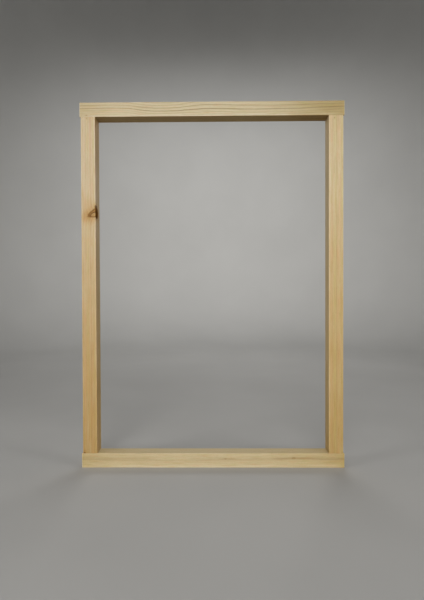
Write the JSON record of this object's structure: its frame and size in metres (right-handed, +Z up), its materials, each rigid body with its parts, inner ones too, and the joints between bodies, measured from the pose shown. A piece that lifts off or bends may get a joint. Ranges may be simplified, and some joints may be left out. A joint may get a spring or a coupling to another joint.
{
  "type": "screen printing frame",
  "caption": "Bare upright wooden screen printing frame: square laths butt-jointed and screwed at the corners around an open print window, ready to have mesh stretched over it.",
  "frame": {"origin": "middle of the top rail's underside, where a wall screw or nail carries the hanging frame, as in the picture", "axes": "+Z up along the stiles, +X along the rails to the right as seen from the front, +Y from the front face to the back face"},
  "size_m": [0.504, 0.0274, 0.7],
  "materials": {
    "pine_top_rail": "planed, unsealed pine, with strong growth rings",
    "pine_bottom_rail": "planed, unsealed pine, plain",
    "pine_left_stile": "planed, unsealed pine with a knot",
    "pine_right_stile": "planed, unsealed pine, darker towards the foot",
    "screw_steel": "zinc-plated wood screw"
  },
  "bodies": {
    "root": {"top_rail": "pine_top_rail", "bottom_rail": "pine_bottom_rail", "left_stile": "pine_left_stile", "right_stile": "pine_right_stile", "screw_top_left_front": "screw_steel", "screw_top_left_back": "screw_steel", "screw_top_right_front": "screw_steel", "screw_top_right_back": "screw_steel", "screw_bottom_left_front": "screw_steel", "screw_bottom_left_back": "screw_steel", "screw_bottom_right_front": "screw_steel", "screw_bottom_right_back": "screw_steel"}
  },
  "joints": []
}
